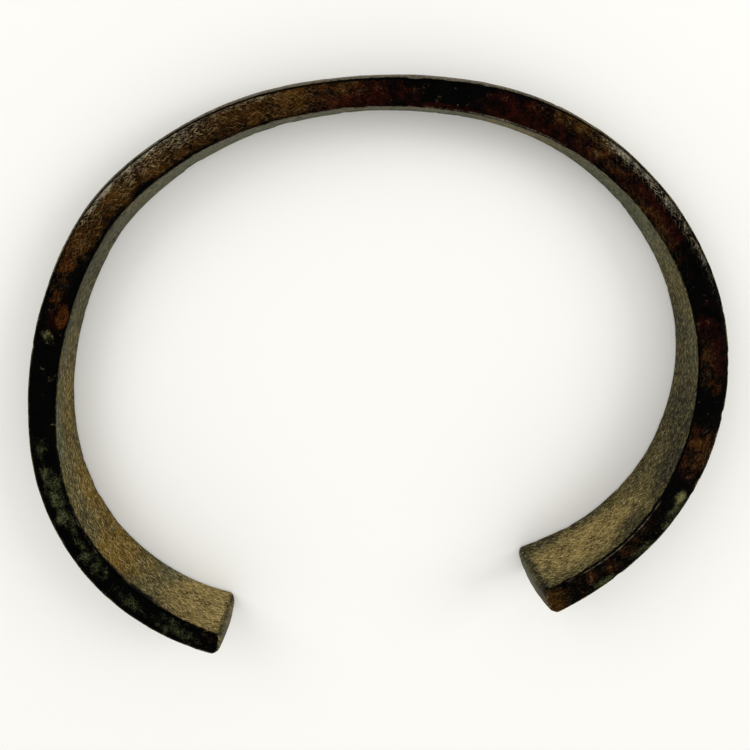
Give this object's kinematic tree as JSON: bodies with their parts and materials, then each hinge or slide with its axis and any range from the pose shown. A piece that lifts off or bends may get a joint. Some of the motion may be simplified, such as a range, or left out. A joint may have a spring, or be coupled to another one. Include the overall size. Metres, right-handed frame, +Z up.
{
  "type": "iron bangle",
  "caption": "Open oval bangle forged from one iron bar, upright in section, with square-cut terminals that stand taller than its slim back.",
  "frame": {"origin": "on the ground under the middle of the bangle's outline, as it lies on its lower edge", "axes": "+X across the widest stretch, -Y out through the mouth between the terminals, +Z up out of the rim"},
  "size_m": [0.0692, 0.054, 0.0096],
  "materials": {
    "iron_patina": "dark brown to black patina, brushed olive-tan on the inner wall, worn bright along the rim edges"
  },
  "bodies": {
    "root": {"bangle": "iron_patina"}
  },
  "joints": []
}
